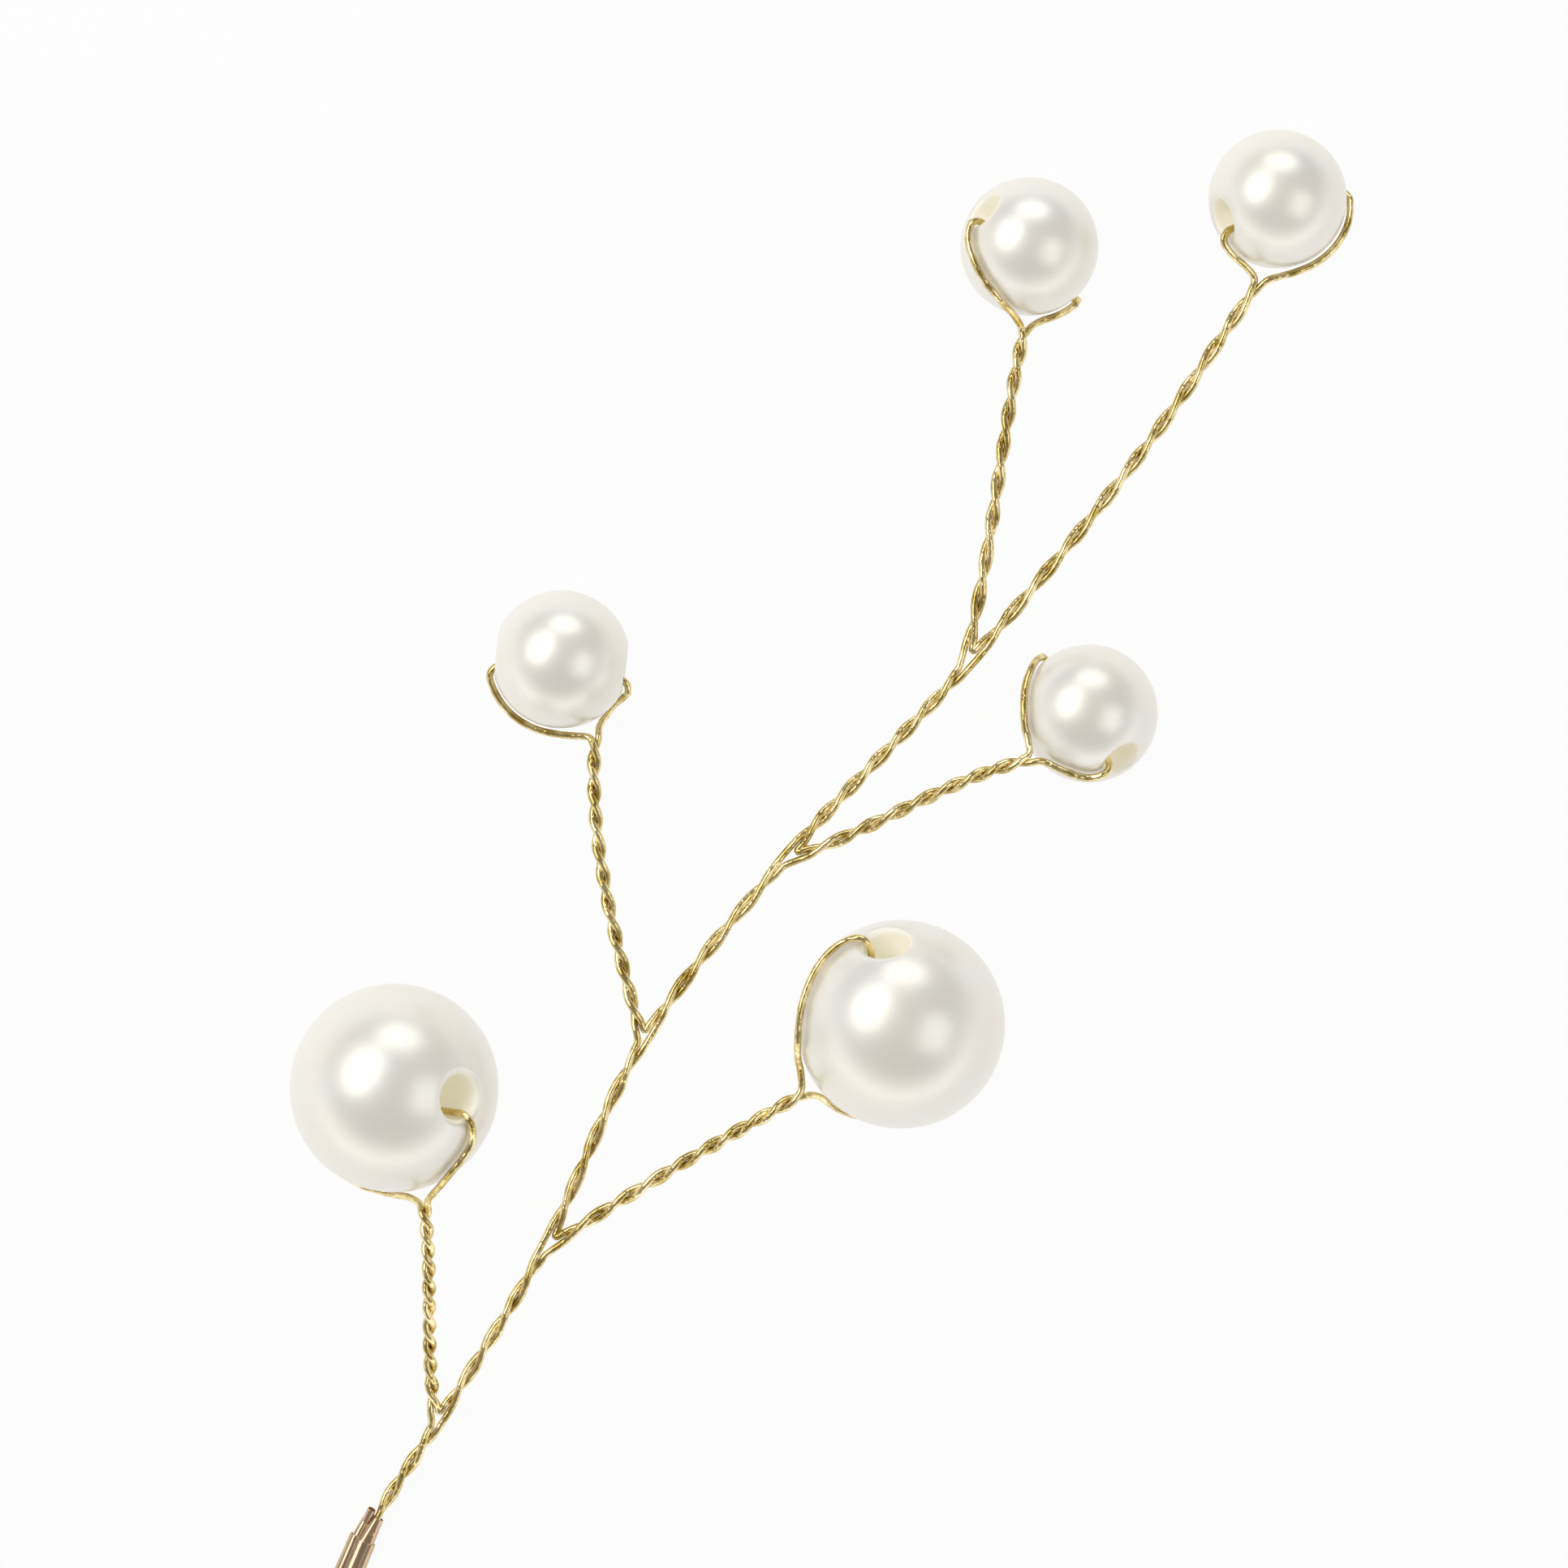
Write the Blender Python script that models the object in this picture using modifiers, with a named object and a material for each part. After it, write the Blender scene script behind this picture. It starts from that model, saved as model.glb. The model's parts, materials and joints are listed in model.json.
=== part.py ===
# Decorative hair pin: pearls on a sprig of twisted wire, crimped to a two-prong pin.
# It lies on its back with +Y from the prongs up the sprig and +Z away from the table.
# The origin is on the pin's axis, where the prongs leave the crimp ferrule.
import math

import bmesh
import bpy
import numpy as np
from mathutils import Vector

MM = 0.001

# Pearls
LARGE_PEARL_DIAMETER = 12.0 * MM
SMALL_PEARL_DIAMETER = 8.0 * MM
LARGE_BORE_DIAMETER = 2.7 * MM
SMALL_BORE_DIAMETER = 2.2 * MM
LARGE_LIP_RADIUS = 0.35 * MM
SMALL_LIP_RADIUS = 0.3 * MM
PEARL_STEPS = 18
PEARL_RINGS = 9
LIP_POINTS = 3

# Gold wire
WIRE_DIAMETER = 0.4 * MM
STRAND_CLEARANCE = 0.06 * MM
PEARL_CLEARANCE = 0.2 * MM
LOOP_NECK = 0.5 * MM
LOOP_BEND = 0.45 * MM
CROTCH_RADIUS = 0.22 * MM
JOIN_LENGTH = 0.5 * MM
WIRE_END_GAP = 0.04 * MM
STEM_PITCH = 5.3 * MM
POINTS_PER_TURN = 8
LOOP_STEP = 15
LOOP_LIP_POINTS = 6
BEND_POINTS = 4
BEND_SHARE = 0.8

# Two-prong pin, bent double from one wire
LEG_DIAMETER = 0.65 * MM
LEG_LENGTH = 62.0 * MM
LEG_SPREAD = 10.0 * MM
LEG_FLARE = 15.0 * MM
LEG_GRIP = 2.0 * MM
CROWN_GAP = 0.07 * MM
WAVE_HEIGHT = 0.5 * MM
WAVE_LENGTH = 8.0 * MM
WAVE_COUNT = 3
TIP_FLICK = 0.6 * MM
FLARE_POINTS = 9
WAVE_POINTS = 8
TIP_POINTS = 6
CROWN_POINTS = 9
TIP_TURNS = (0.0, 30.0, 60.0, 85.0)

# Crimp ferrule, folded from sheet
LEG_CLEARANCE = 0.04 * MM
FERRULE_WALL = 0.15 * MM
FERRULE_LENGTH = 6.5 * MM
FERRULE_NARROWING = 0.135 * MM
OVAL_LENGTH = 1.55 * MM
OVAL_ROOT = 0.3 * MM
OVAL_WALL = 0.1 * MM
STEM_SEAT_DEPTH = 1.6 * MM
EAR_HEIGHT = 1.85 * MM
EAR_ROOT = 0.6 * MM
EAR_TOP_RADIUS = 0.22 * MM
EAR_LEAN = 0.2 * MM
EAR_WALL = 0.09 * MM
EAR_BORE_DEPTH = 0.8 * MM
FERRULE_SIDES = 20
SHARP_ANGLE = 40

# The stem's centreline above the ferrule, as x, y and height over the pin's axis
STEM_ROUTE = [
    (1.5 * MM, 14.0 * MM, 1.0 * MM),
    (3.35 * MM, 25.8 * MM, 2.2 * MM),
    (4.1 * MM, 39.4 * MM, 2.9 * MM),
    (7.6 * MM, 52.2 * MM, 3.0 * MM),
    (13.0 * MM, 66.5 * MM, 3.2 * MM),
    (17.7 * MM, 81.9 * MM, 3.4 * MM),
]

# Side branches from the ferrule upwards. joint: stem point it leaves from. side: 1 left, -1 right.
# leaves and lands: the branch's heading at each end. neck and dip: way from the pearl's middle to its
# wire loop's neck. bore and rise: heading and slope of the pearl's bore. to_front and to_back: headings
# and slopes the loop passes on its way to the bore's two ends. All in degrees.
LOWER_LEFT = dict(
    name="lower_left", large=True, joint=0, side=1, x=-8.1 * MM, y=31.6 * MM, pitch=2.6 * MM,
    leaves=121, lands=120, neck=-53, dip=3, bore=18, rise=45,
    to_front=[(-32, 23), (-9, 30)],
    to_back=[(-62, -5), (-75, -14), (-94, -18), (-127, -35)],
)
LOWER_RIGHT = dict(
    name="lower_right", large=True, joint=1, side=-1, x=17.45 * MM, y=46.15 * MM, pitch=4.4 * MM,
    leaves=57, lands=52, neck=-122, dip=0, bore=123, rise=32,
    to_front=[(-134, 5), (-150, 19), (179, 23), (161, 21), (147, 22)],
    to_back=[(-115, -8), (-108, -13), (-100, -16), (-79, -26)],
)
MIDDLE_LEFT = dict(
    name="middle_left", large=False, joint=2, side=1, x=-8.75 * MM, y=58.1 * MM, pitch=3.6 * MM,
    leaves=128, lands=108, neck=-44, dip=-3, bore=16, rise=0,
    to_front=[(-34, -12), (-20, -24), (-4, -6)],
    to_back=[(-74, -5), (-102, -6), (-127, -5), (-144, -4)],
)
MIDDLE_RIGHT = dict(
    name="middle_right", large=False, joint=3, side=-1, x=20.7 * MM, y=66.9 * MM, pitch=4.4 * MM,
    leaves=47, lands=36, neck=-120, dip=28, bore=-33, rise=31,
    to_front=[(-108, 29), (-88, 32), (-69, 30), (-57, 33)],
    to_back=[(-137, 26), (-161, 27), (179, 20), (162, 8), (151, -12)],
)
UPPER_LEFT = dict(
    name="upper_left", large=False, joint=4, side=1, x=7.15 * MM, y=90.6 * MM, pitch=4.4 * MM,
    leaves=98, lands=100, neck=-71, dip=3, bore=166, rise=26,
    to_front=[(-83, 19), (-101, 33), (-117, 36), (-138, 37), (-160, 33)],
    to_back=[(-56, -8), (-44, -9), (-28, -12), (-22, -18)],
)
TOP = dict(
    name="top", large=False, x=19.4 * MM, y=98.65 * MM, neck=-80, dip=0, bore=-137, rise=19,
    to_front=[(-95, 5), (-111, 12)],
    to_back=[(-48, 0), (-24, 0), (-5, 0), (12, -5), (25, -10)],
)
BRANCHES = [LOWER_LEFT, LOWER_RIGHT, MIDDLE_LEFT, MIDDLE_RIGHT, UPPER_LEFT]

PEARL_COLOR = (0.86, 0.83, 0.77, 1.0)
GOLD_COLOR = (0.83, 0.66, 0.31, 1.0)
BRONZE_COLOR = (0.62, 0.44, 0.28, 1.0)

# Sizes that follow from the values above
wire_radius = WIRE_DIAMETER / 2
strand_offset = wire_radius + STRAND_CLEARANCE / 2
leg_radius = LEG_DIAMETER / 2
leg_seat_radius = leg_radius + LEG_CLEARANCE
crown_radius = leg_seat_radius + CROWN_GAP / 2
lobe_radius = leg_seat_radius + FERRULE_WALL
lobe_top_radius = lobe_radius - FERRULE_NARROWING
table_height = -lobe_radius
slot_half_width = wire_radius + STRAND_CLEARANCE
slot_half_height = strand_offset + wire_radius + STRAND_CLEARANCE
oval_side = crown_radius + lobe_top_radius - slot_half_width - OVAL_WALL
oval_height = table_height + slot_half_height + OVAL_WALL
oval_top = FERRULE_LENGTH + OVAL_LENGTH
stem_seat = oval_top - STEM_SEAT_DEPTH
UP = np.array([0.0, 0.0, 1.0])


def clear_scene():
    for scene_object in list(bpy.data.objects):
        bpy.data.objects.remove(scene_object, do_unlink=True)


def make_collection(name):
    collection = bpy.data.collections.new(name)
    bpy.context.scene.collection.children.link(collection)
    return collection


def make_material(name, color, metallic, roughness):
    material = bpy.data.materials.new(name)
    material.use_nodes = True
    shader = material.node_tree.nodes["Principled BSDF"]
    shader.inputs["Base Color"].default_value = color
    shader.inputs["Metallic"].default_value = metallic
    shader.inputs["Roughness"].default_value = roughness
    return material


def heading(degrees, slope=0.0):
    # Unit vector at a compass angle in the plane and a slope above it
    turn = math.radians(degrees)
    climb = math.radians(slope)
    flat = math.cos(climb)
    return np.array([math.cos(turn) * flat, math.sin(turn) * flat, math.sin(climb)])


def unit(vector):
    return vector / np.linalg.norm(vector)


class Line:
    # A centreline sampled densely, read back by the distance along it
    def __init__(self, points):
        self.points = points
        steps = np.linalg.norm(np.diff(points, axis=0), axis=1)
        self.marks = np.concatenate([[0.0], np.cumsum(steps)])
        self.length = self.marks[-1]
        self.slopes = np.gradient(points, self.marks, axis=0)

    def at(self, distance):
        return np.array([np.interp(distance, self.marks, self.points[:, axis]) for axis in range(3)]).T

    def frame(self, distance):
        # Tangent, left side and upper side
        slope = np.array([np.interp(distance, self.marks, self.slopes[:, axis]) for axis in range(3)]).T
        tangent = slope / np.linalg.norm(slope, axis=-1, keepdims=True)
        left = np.cross(UP, tangent)
        left = left / np.linalg.norm(left, axis=-1, keepdims=True)
        return tangent, left, np.cross(tangent, left)

    def beside(self, distance, phase):
        # Place of a strand that runs round the centreline at the given phase
        distance = np.asarray(distance, dtype=float)
        phase = np.asarray(phase, dtype=float)[..., None]
        _, left, over = self.frame(distance)
        return self.at(distance) + strand_offset * (np.cos(phase) * left + np.sin(phase) * over)


def through(points, per_span=24):
    # Smooth curve through points: cubic spans with tangents from the neighbours
    points = np.asarray(points, dtype=float)
    chords = np.sqrt(np.linalg.norm(np.diff(points, axis=0), axis=1))
    knots = np.concatenate([[0.0], np.cumsum(chords)])
    slopes = np.gradient(points, knots, axis=0)
    share = np.linspace(0.0, 1.0, per_span, endpoint=False)[:, None]
    spans = []
    for start in range(len(points) - 1):
        width = knots[start + 1] - knots[start]
        rise = 3 * share ** 2 - 2 * share ** 3
        spans.append(points[start] * (1 - rise) + points[start + 1] * rise
                     + width * slopes[start] * (share ** 3 - 2 * share ** 2 + share)
                     + width * slopes[start + 1] * (share ** 3 - share ** 2))
    return np.concatenate(spans + [points[-1:]])


def bezier(first, second, third, fourth, count=60):
    share = np.linspace(0.0, 1.0, count)[:, None]
    rest = 1 - share
    ends = rest ** 3 * first + share ** 3 * fourth
    return ends + 3 * rest ** 2 * share * second + 3 * rest * share ** 2 * third


def wire_curve(name, points, radius, material, collection, scales=None):
    curve = bpy.data.curves.new(name, "CURVE")
    curve.dimensions = "3D"
    curve.bevel_depth = radius
    curve.bevel_resolution = 1
    curve.use_fill_caps = True
    spline = curve.splines.new("POLY")
    spline.points.add(len(points) - 1)
    if scales is None:
        scales = [1.0] * len(points)
    for spot, place, scale in zip(spline.points, points, scales):
        spot.co = (*place, 1.0)
        spot.radius = scale
    if material:
        curve.materials.append(material)
    wire = bpy.data.objects.new(name, curve)
    collection.objects.link(wire)
    return wire


class Pearl:
    # Where a pearl sits, how its bore lies and how the wire loops round it
    def __init__(self, plan):
        self.name = plan["name"]
        large = plan["large"]
        self.radius = (LARGE_PEARL_DIAMETER if large else SMALL_PEARL_DIAMETER) / 2
        self.bore_radius = (LARGE_BORE_DIAMETER if large else SMALL_BORE_DIAMETER) / 2
        self.lip = LARGE_LIP_RADIUS if large else SMALL_LIP_RADIUS
        self.middle = np.array([plan["x"], plan["y"], table_height + self.radius])
        self.axis = heading(plan["bore"], plan["rise"])
        self.reach = wire_radius + PEARL_CLEARANCE
        self.neck_way = heading(plan["neck"], plan["dip"])
        self.neck = self.middle + self.neck_way * (self.radius + self.reach + LOOP_NECK)
        self.stops = {1: [heading(*stop) for stop in plan["to_front"]],
                      -1: [heading(*stop) for stop in plan["to_back"]]}
        self.spread = self.stops[1][0] - self.stops[-1][0]
        self.lip_height = math.sqrt((self.radius - self.lip) ** 2 - (self.bore_radius + self.lip) ** 2)
        self.lip_angle = math.atan2(self.bore_radius + self.lip, self.lip_height)

    def outline(self):
        # Closed half section, down the outside and up the bore
        lip_turns = np.linspace(-math.pi / 2, self.lip_angle, LIP_POINTS)
        lip_side = self.bore_radius + self.lip
        upper = [(lip_side + self.lip * math.sin(turn), self.lip_height + self.lip * math.cos(turn))
                 for turn in lip_turns]
        turns = np.linspace(self.lip_angle, math.pi - self.lip_angle, PEARL_RINGS + 2)[1:-1]
        outside = [(self.radius * math.sin(turn), self.radius * math.cos(turn)) for turn in turns]
        lower = [(side, -height) for side, height in reversed(upper)]
        return upper + outside + lower

    def loop_side(self, end):
        # From the neck round the pearl to the bore mouth at one end of the axis, end 1 or -1
        orbit = self.radius + self.reach
        pole = end * self.axis
        last = self.stops[end][-1]
        across = unit(last - np.dot(last, pole) * pole)
        entry = math.cos(self.lip_angle) * pole + math.sin(self.lip_angle) * across
        places = [orbit * stop for stop in self.stops[end]]
        ways = through([self.neck - self.middle] + places + [orbit * entry])
        heights = np.linalg.norm(ways, axis=1, keepdims=True)
        arc = Line(ways * np.maximum(1.0, orbit / heights))
        count = max(4, round(math.degrees(arc.length / orbit) / LOOP_STEP))
        points = self.middle + arc.at(np.linspace(LOOP_NECK + LOOP_BEND, arc.length, count))
        bend = self.lip + self.reach
        turns = np.linspace(self.lip_angle, -math.pi / 2, LOOP_LIP_POINTS)[1:, None]
        along = self.lip_height + bend * np.cos(turns)
        aside = self.bore_radius + self.lip + bend * np.sin(turns)
        return np.concatenate([points, self.middle + along * pole + aside * across])


def corner(before, tip, after):
    # Rounds the corner at tip, from a little before it to a little after
    start = tip + unit(before - tip) * min(LOOP_BEND, BEND_SHARE * np.linalg.norm(before - tip))
    finish = tip + unit(after - tip) * min(LOOP_BEND, BEND_SHARE * np.linalg.norm(after - tip))
    share = np.linspace(0.0, 1.0, BEND_POINTS)[:, None]
    return (1 - share) ** 2 * start + 2 * share * (1 - share) * tip + share ** 2 * finish


def twisted_wire(pearl, line, start_phase, first_twist, pitch):
    # Out along the centreline as one strand, round the pearl, and back as the other strand
    _, left, over = line.frame(line.length)
    tilt = math.atan2(np.dot(pearl.spread, over), np.dot(pearl.spread, left))
    twist = 2 * math.pi * (line.length - first_twist) / pitch
    half_turns = round((twist - start_phase + tilt) / math.pi)
    end_phase = tilt - half_turns * math.pi
    end = 1 if half_turns % 2 == 0 else -1
    count = max(6, round((start_phase - end_phase) / (2 * math.pi) * POINTS_PER_TURN))
    stations = np.linspace(first_twist, line.length, count + 1)
    phases = np.linspace(start_phase, end_phase, count + 1)
    out = line.beside(stations, phases)
    back = line.beside(stations, phases + math.pi)
    loop_out = pearl.loop_side(end)
    loop_back = pearl.loop_side(-end)
    corner_out = corner(out[-2], out[-1], loop_out[0])
    corner_back = corner(back[-2], back[-1], loop_back[0])
    going = np.concatenate([out[:-1], corner_out, loop_out])
    coming = np.concatenate([back[:-1], corner_back, loop_back])
    return np.concatenate([going, coming[::-1]])


class Stem:
    # Centreline of the two-strand stem, from its seat in the ferrule to the top pearl's loop
    def __init__(self):
        self.top = Pearl(TOP)
        seat = (oval_side, stem_seat, oval_height)
        mouth = (oval_side, oval_top, oval_height)
        self.line = Line(through([seat, mouth] + STEM_ROUTE + [tuple(self.top.neck)]))
        self.mouth_mark = self.mark(mouth)

    def mark(self, place):
        away = np.linalg.norm(self.line.points - np.asarray(place), axis=1)
        return self.line.marks[int(np.argmin(away))]


class Branch:
    # One side branch: the strand of the stem on its side turns out, loops a pearl and comes back
    def __init__(self, plan, stem):
        self.name = plan["name"]
        self.side = plan["side"]
        self.pitch = plan["pitch"]
        self.pearl = Pearl(plan)
        self.mark = stem.mark(STEM_ROUTE[plan["joint"]])
        root = stem.line.at(self.mark)
        tangent, _, _ = stem.line.frame(self.mark)
        leave = heading(plan["leaves"], math.degrees(math.asin(tangent[2])))
        land = heading(plan["lands"])
        pull = np.linalg.norm(self.pearl.neck - root) / 3
        self.line = Line(bezier(root, root + pull * leave, self.pearl.neck - pull * land, self.pearl.neck))
        opening = math.acos(float(np.dot(tangent, leave)))
        self.crotch = (CROTCH_RADIUS + strand_offset) / math.sin(opening / 2)
        self.low_mark = self.mark - JOIN_LENGTH
        self.high_mark = self.mark + self.crotch + JOIN_LENGTH

    def wire(self, stem):
        # Up from the stem's lower run, out and back, then round the crotch into the stem's upper run
        phase = 0.0 if self.side > 0 else math.pi
        run = twisted_wire(self.pearl, self.line, phase, self.crotch + JOIN_LENGTH / 2, self.pitch)
        low_marks = [self.low_mark + WIRE_END_GAP, self.low_mark + JOIN_LENGTH / 2]
        low = stem.line.beside(low_marks, [phase, phase])
        inner = self.line.beside([self.crotch], [phase + math.pi])
        outer = stem.line.beside([self.mark + self.crotch], [phase])
        middle = (inner + outer) / 2
        bottom = middle - unit(middle[0] - stem.line.at(self.mark)) * CROTCH_RADIUS
        high = stem.line.beside([self.high_mark - WIRE_END_GAP], [phase])
        rise = through(np.concatenate([low, run[:2]]), 2)[:4]
        turn = through(np.concatenate([run[-1:], inner, bottom, outer, high]), 3)[1:]
        return np.concatenate([rise, run, turn])


def stem_phases(stem, branches):
    # Knots of the left strand's phase: stacked in the ferrule, flat at each branch, twisted between
    marks = [0.0, stem.mouth_mark]
    turns = [0.25, 0.25]
    for branch in branches:
        wanted = turns[-1] - (branch.low_mark - marks[-1]) / STEM_PITCH
        flat = min(round(wanted), math.ceil(turns[-1]) - 1)
        marks += [branch.low_mark, branch.high_mark]
        turns += [flat, flat]
    return marks, [2 * math.pi * turn for turn in turns]


def strand_run(stem, marks, phases, start, finish, shift):
    # Points of one strand between two marks, enough for its turns, with the knots kept
    edges = [start] + [mark for mark in marks if start < mark < finish] + [finish]
    stations = []
    for low, high in zip(edges[:-1], edges[1:]):
        twist = abs(np.interp(high, marks, phases) - np.interp(low, marks, phases))
        count = max(2, round(twist / (2 * math.pi) * POINTS_PER_TURN))
        stations.append(np.linspace(low, high, count, endpoint=False))
    stations = np.concatenate(stations + [[finish]])
    return stem.line.beside(stations, np.interp(stations, marks, phases) + shift)


def build_pearl(pearl, material, collection):
    outline = pearl.outline()
    mesh = bpy.data.meshes.new("pearl_" + pearl.name)
    edges = [(spot, (spot + 1) % len(outline)) for spot in range(len(outline))]
    mesh.from_pydata([(side, 0.0, height) for side, height in outline], edges, [])
    mesh.materials.append(material)
    bead = bpy.data.objects.new("pearl_" + pearl.name, mesh)
    bead.location = pearl.middle
    bead.rotation_mode = "QUATERNION"
    bead.rotation_quaternion = Vector(pearl.axis).to_track_quat("Z", "Y")
    collection.objects.link(bead)
    screw = bead.modifiers.new("turn", "SCREW")
    screw.steps = PEARL_STEPS
    screw.render_steps = PEARL_STEPS
    screw.use_merge_vertices = True
    screw.merge_threshold = 0.00001
    screw.use_smooth_shade = True
    return bead


def pin_points():
    # Up the right prong from its tip, round the crown in the ferrule, and down the left prong
    flare_heights = np.linspace(0.0, -LEG_FLARE, FLARE_POINTS)
    wave_end = -LEG_FLARE - WAVE_COUNT * WAVE_LENGTH
    wave_heights = np.linspace(-LEG_FLARE, wave_end, WAVE_POINTS * WAVE_COUNT + 1)
    tip_heights = np.linspace(wave_end, -LEG_LENGTH, TIP_POINTS)
    heights = np.concatenate([flare_heights, wave_heights[1:], tip_heights[1:]])
    flare = np.clip(-heights / LEG_FLARE, 0.0, 1.0)
    flare = flare ** 2 * (3 - 2 * flare)
    waves = (-LEG_FLARE - heights) / WAVE_LENGTH
    swell = np.sin(math.pi * np.clip(waves / WAVE_COUNT, 0.0, 1.0))
    flick = np.clip((wave_end - heights) / (wave_end + LEG_LENGTH), 0.0, 1.0)
    sides = crown_radius + flare * (LEG_SPREAD / 2 - crown_radius)
    sides = sides + WAVE_HEIGHT * swell * np.sin(2 * math.pi * waves) + TIP_FLICK * flick ** 2
    drops = -heights / LEG_LENGTH * (table_height + leg_radius)
    leg = np.stack([sides, heights, drops], axis=1)
    way = unit(leg[-1] - leg[-2])
    turns = np.radians(TIP_TURNS)
    tip = leg[-1] + (np.sin(turns)[:, None] - 1) * leg_radius * way
    leg = np.concatenate([leg[:-1], tip])
    scales = np.concatenate([np.ones(len(leg) - len(turns)), np.cos(turns)])
    mirror = np.array([-1.0, 1.0, 1.0])
    points = np.concatenate([leg[::-1], crown_points(), leg * mirror])
    return points, np.concatenate([scales[::-1], np.ones(len(crown_points())), scales])


def crown_points():
    turns = np.linspace(0.0, math.pi, CROWN_POINTS)
    sides = crown_radius * np.cos(turns)
    heights = LEG_GRIP + crown_radius * np.sin(turns)
    return np.stack([sides, heights, 0 * turns], axis=1)


def as_tool(tool):
    tool.hide_render = True
    tool.display_type = "WIRE"
    return tool


def bar(name, start, finish, radius, top_radius, collection, squeeze=1.0):
    # Round or oval bar, or a cone, from one point to another; squeeze narrows it across X
    start = Vector(start)
    finish = Vector(finish)
    turn = (finish - start).to_track_quat("Z", "Y").to_matrix().to_4x4()
    mesh = bpy.data.meshes.new(name)
    shape = bmesh.new()
    bmesh.ops.create_cone(shape, cap_ends=True, segments=FERRULE_SIDES, radius1=radius, radius2=top_radius,
                          depth=(finish - start).length)
    bmesh.ops.transform(shape, matrix=turn, verts=shape.verts)
    bmesh.ops.scale(shape, vec=(squeeze, 1.0, 1.0), verts=shape.verts)
    shape.to_mesh(mesh)
    shape.free()
    mesh.shade_smooth()
    mesh.set_sharp_from_angle(angle=math.radians(SHARP_ANGLE))
    solid = bpy.data.objects.new(name, mesh)
    solid.location = (start + finish) / 2
    collection.objects.link(solid)
    return solid


def combine(base, tool, operation):
    modifier = base.modifiers.new(tool.name, "BOOLEAN")
    modifier.operation = operation
    modifier.object = as_tool(tool)


def crown_cutter(cutters):
    # The pin's seat: its crown and the first of its prongs, with their clearance
    below = np.array([0.0, -LEG_GRIP - FERRULE_WALL, 0.0])
    arch = crown_points()
    path = np.concatenate([arch[:1] + below, arch, arch[-1:] + below])
    curve = wire_curve("crown_seat_curve", path, leg_seat_radius, None, cutters)
    curve.data.bevel_resolution = 2
    graph = bpy.context.evaluated_depsgraph_get()
    mesh = bpy.data.meshes.new_from_object(curve.evaluated_get(graph))
    shape = bmesh.new()
    shape.from_mesh(mesh)
    bmesh.ops.remove_doubles(shape, verts=shape.verts, dist=WIRE_DIAMETER / 1000)
    shape.to_mesh(mesh)
    shape.free()
    cutter = bpy.data.objects.new("crown_seat", mesh)
    cutter.matrix_world = curve.matrix_world
    bpy.data.objects.remove(curve)
    cutters.objects.link(cutter)
    return cutter


def build_ferrule(material, parts, cutters):
    # Two tapered lobes over the pin's crown, an oval neck round the stem and a rolled ear beside it
    ferrule = bar("crimp_ferrule", (crown_radius, 0.0, 0.0), (crown_radius, FERRULE_LENGTH, 0.0),
                  lobe_radius, lobe_top_radius, parts)
    ferrule.data.materials.append(material)
    left_lobe = bar("left_lobe", (-crown_radius, 0.0, 0.0), (-crown_radius, FERRULE_LENGTH, 0.0),
                    lobe_radius, lobe_top_radius, cutters)
    back = bar("back", (0.0, 0.0, -FERRULE_WALL), (0.0, FERRULE_LENGTH, -FERRULE_WALL),
               crown_radius, crown_radius, cutters)
    oval_foot = (oval_side, FERRULE_LENGTH - OVAL_ROOT, oval_height)
    oval_mouth = (oval_side, oval_top, oval_height)
    oval_half_width = slot_half_width + OVAL_WALL
    oval_half_height = slot_half_height + OVAL_WALL
    oval = bar("oval_neck", oval_foot, oval_mouth, oval_half_height, oval_half_height, cutters,
               oval_half_width / oval_half_height)
    ear_foot = (-crown_radius, FERRULE_LENGTH - EAR_ROOT, 0.0)
    ear_tip = (EAR_LEAN - crown_radius, FERRULE_LENGTH + EAR_HEIGHT, 0.0)
    ear = bar("ear", ear_foot, ear_tip, lobe_top_radius, EAR_TOP_RADIUS, cutters)
    for solid in (left_lobe, back, oval, ear):
        combine(ferrule, solid, "UNION")
    slot_foot = (oval_side, stem_seat, oval_height)
    slot_mouth = (oval_side, oval_top + OVAL_WALL, oval_height)
    slot = bar("stem_slot", slot_foot, slot_mouth, slot_half_height, slot_half_height, cutters,
               slot_half_width / slot_half_height)
    ear_way = Vector(ear_tip) - Vector(ear_foot)
    ear_way.normalize()
    ear_bore_radius = EAR_TOP_RADIUS - EAR_WALL
    ear_floor = Vector(ear_tip) - ear_way * EAR_BORE_DEPTH
    ear_mouth = Vector(ear_tip) + ear_way * EAR_WALL
    ear_bore = bar("ear_bore", ear_floor, ear_mouth, ear_bore_radius, ear_bore_radius, cutters)
    for hollow in (crown_cutter(cutters), slot, ear_bore):
        combine(ferrule, hollow, "DIFFERENCE")
    return ferrule


def build_stem(stem, branches, gold, parts):
    # Each strand is cut where it turns out into a branch on its own side
    marks, phases = stem_phases(stem, branches)
    finish = branches[-1].high_mark
    for side, label, shift in ((1, "left", 0.0), (-1, "right", math.pi)):
        cuts = [0.0]
        for branch in branches:
            if branch.side == side:
                cuts += [branch.low_mark, branch.high_mark]
        if cuts[-1] < finish:
            cuts.append(finish)
        for number, start in enumerate(cuts[0::2][:len(cuts) // 2], 1):
            end = cuts[2 * number - 1]
            points = strand_run(stem, marks, phases, start + WIRE_END_GAP, end - WIRE_END_GAP, shift)
            wire_curve(f"stem_{label}_{number}", points, wire_radius, gold, parts)
    top_run = twisted_wire(stem.top, stem.line, phases[-1], finish + WIRE_END_GAP, STEM_PITCH)
    wire_curve("wire_top", top_run, wire_radius, gold, parts)


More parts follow.
